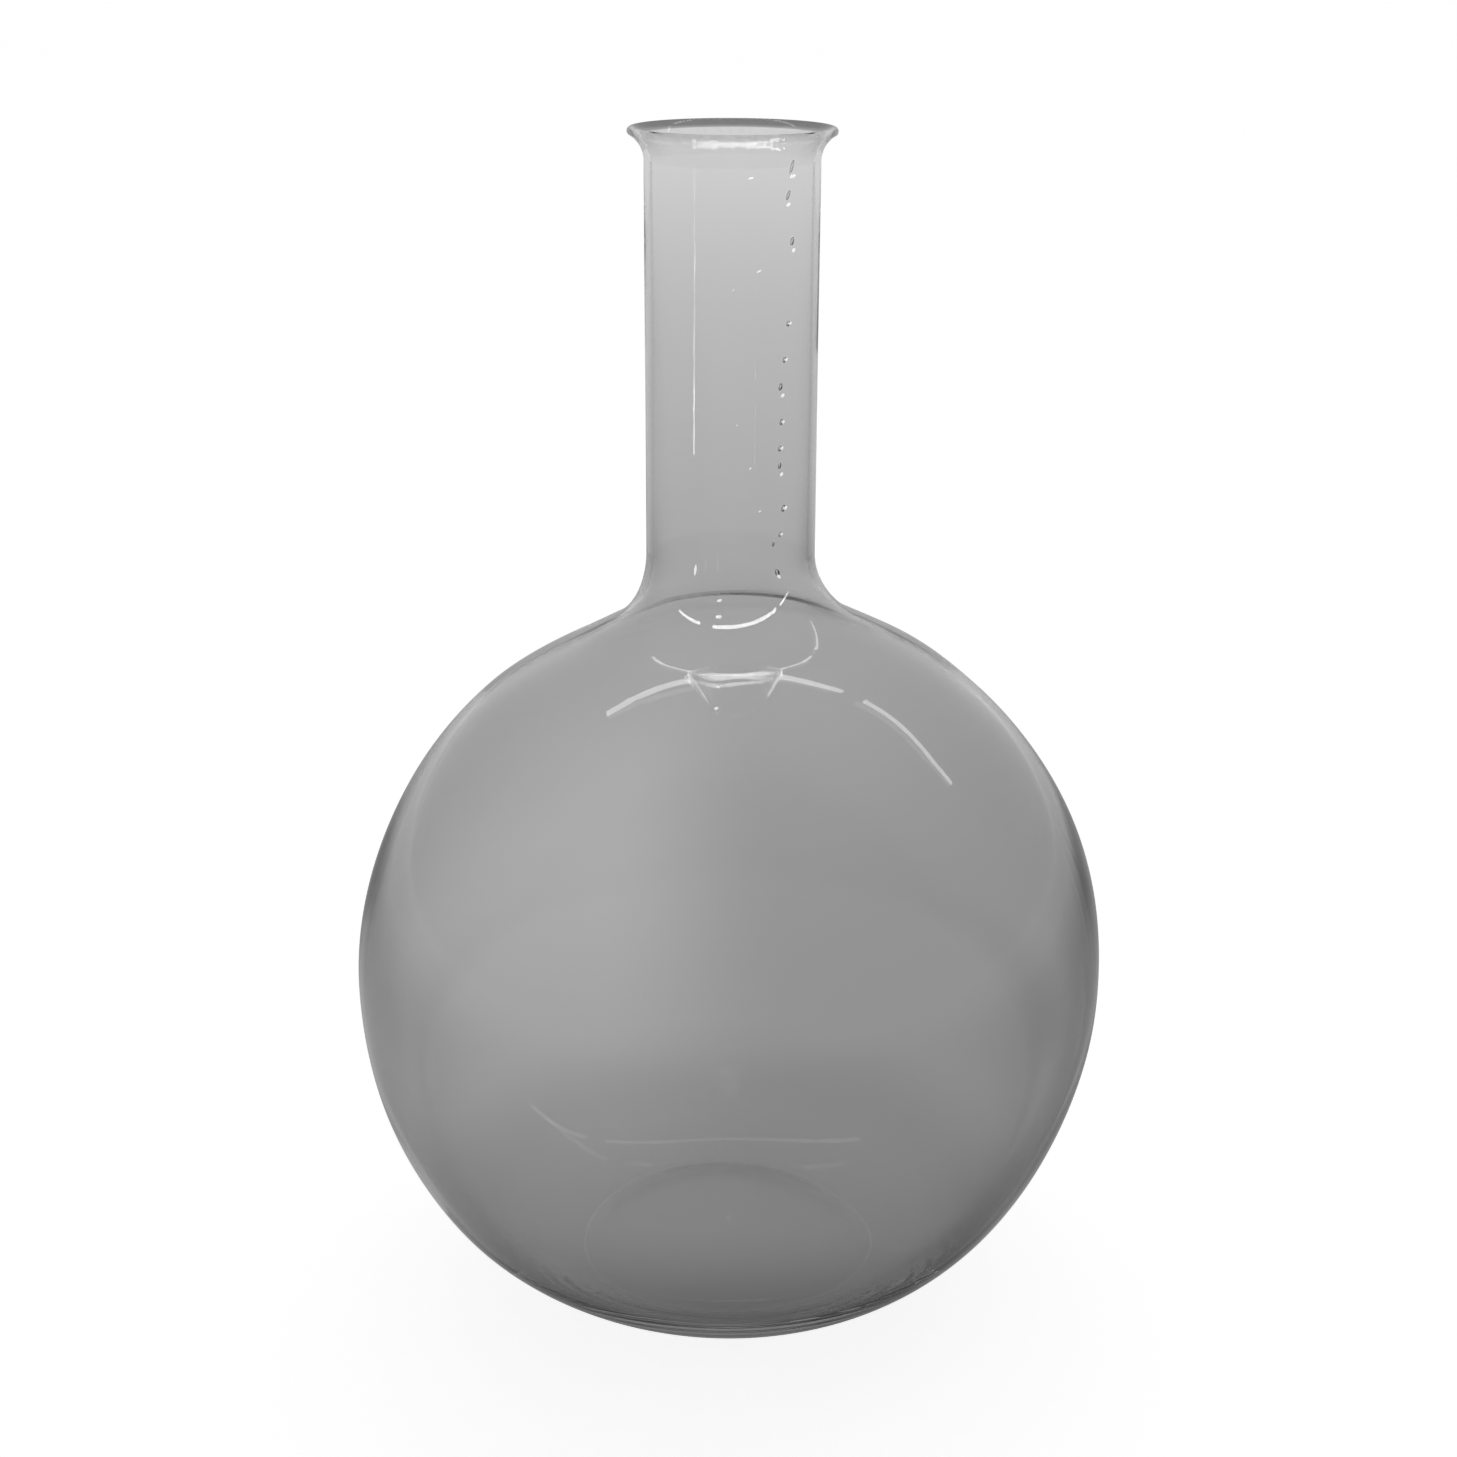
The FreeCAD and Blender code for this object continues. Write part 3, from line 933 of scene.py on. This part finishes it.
# Lights that lie from left to right and are seen only in the outside of one piece: name, left and right
# end, how far behind the flask and how high they lie, width, radiance, the piece.
SHINES = [
    ("front_strip_left", -3.8, -1.35, -1.40, STRIP_Z, 0.176, 16.0, "shoulder"),
    ("front_strip_middle", -0.8, 2.45, -1.40, STRIP_Z, 0.176, 16.0, "shoulder"),
    ("front_strip_right", 3.1, 8.0, -1.40, STRIP_Z, 0.176, 16.0, "shoulder"),
    ("edge_lamp", -1.4, 1.4, 1.3, 2.3, 1.7, 5.0, "neck_tube"),
    ("mouth_lamp", -6.5, 2.3, -1.5, 1.35, 0.9, 80.0, "mouth_flare"),
]
# Bright lines down the neck: degrees to the right of the front, lowest and highest point (mm), radiance.
NECK_GLINTS = [
    (-24.6, 276.0, 295.0, 24.0), (-24.6, 295.0, 325.0, 16.0), (-24.6, 325.0, 354.0, 34.0),
    (-16.5, 238.0, 290.0, 2.2), (-8.3, 236.0, 330.0, 4.0), (15.5, 272.0, 335.0, 9.0),
]
GLINT_DISTANCE = 0.5
GLINT_WIDTH = 0.016

CAMERA_DISTANCE = 0.700
CAMERA_HEIGHT = 0.4236
CAMERA_PITCH = math.radians(18.95)
CAMERA_ROLL = math.radians(0.27)
CAMERA_YAW = math.radians(0.030)
CAMERA_LENS = 58.73
SENSOR_WIDTH = 36.0


def make_strip(name, start, end, width, radiance, seen_on=()):
    """A straight light between two points, facing the flask. If pieces are given in seen_on, only they
    reflect it.
    """
    start, end = np.array(start), np.array(end)
    length = float(np.linalg.norm(end - start))
    light = bpy.data.lights.new(name, "AREA")
    light.shape = "RECTANGLE"
    light.size = length
    light.size_y = width
    light.energy = radiance * math.pi * length * width
    lamp = bpy.data.objects.new(name, light)
    bpy.context.scene.collection.objects.link(lamp)
    along = (end - start) / length
    away = (start + end) / 2 - np.array([0.0, 0.0, NECK_BASE])
    away -= along * along.dot(away)
    away /= np.linalg.norm(away)
    across = np.cross(away, along)
    turn = np.identity(4)
    turn[:3, :3] = np.column_stack([along, across, away])
    lamp.matrix_world = Matrix(turn.tolist())
    lamp.location = tuple((start + end) / 2)
    lamp.visible_camera = False
    if seen_on:
        group = bpy.data.collections.new(f"{name}_seen_on")
        for node in seen_on:
            group.objects.link(bpy.data.objects[f"{node}_glass"])
        lamp.light_linking.receiver_collection = group
    return lamp


def make_neck_glint(name, angle, low, high, radiance):
    """A narrow upright light, placed by the law of mirrors so that the camera sees it as a bright line
    down the neck: degrees to the right of the front, and the heights where the line ends.
    """
    turn = math.radians(angle)
    facing = np.array([math.sin(turn), -math.cos(turn), 0.0])
    eye = np.array([0.0, -CAMERA_DISTANCE, CAMERA_HEIGHT])
    ends = []
    for height in (low, high):
        point = facing * NECK_RADIUS + np.array([0.0, 0.0, height])
        ray = point - eye
        ray -= 2.0 * facing * facing.dot(ray)
        ends.append(point + ray * GLINT_DISTANCE / math.hypot(ray[0], ray[1]))
    lamp = make_strip(name, ends[0], ends[1], GLINT_WIDTH, radiance, ("neck_tube",))
    lamp.visible_transmission = False


def make_camera():
    """The camera, at eye level with the lip and looking down at the globe."""
    data = bpy.data.cameras.new("camera")
    data.lens = CAMERA_LENS
    data.sensor_width = SENSOR_WIDTH
    camera = bpy.data.objects.new("camera", data)
    bpy.context.scene.collection.objects.link(camera)
    camera.location = (0.0, -CAMERA_DISTANCE, CAMERA_HEIGHT)
    camera.rotation_mode = "XYZ"
    camera.rotation_euler = (UP - CAMERA_PITCH, 0.0, CAMERA_YAW)
    camera.rotation_euler.rotate_axis("Z", CAMERA_ROLL)
    bpy.context.scene.camera = camera


make_floor()
make_world()
for name, start, end in STRIP_PARTS:
    for layer, (kind, radiance, seen_on) in enumerate(STRIP_LAYERS):
        depth = STRIP_Y - layer * STRIP_GAP
        lamp = make_strip(f"strip_{name}{kind}", (start, depth, STRIP_Z), (end, depth, STRIP_Z),
                          STRIP_WIDTH, radiance, seen_on)
        lamp.visible_transmission = kind != "_glare"
for name, left, right, depth, height, width, radiance, node in SHINES:
    lamp = make_strip(name, (left, depth, height), (right, depth, height), width, radiance, (node,))
    lamp.visible_transmission = False
for place, (angle, low, high, radiance) in enumerate(NECK_GLINTS):
    make_neck_glint(f"neck_glint_{place}", angle, low * MM, high * MM, radiance)
make_camera()
bpy.context.scene.view_settings.view_transform = "Standard"
cycles = bpy.context.scene.cycles
cycles.max_bounces = 32
cycles.glossy_bounces = 24
cycles.transmission_bounces = 32
cycles.transparent_max_bounces = 32
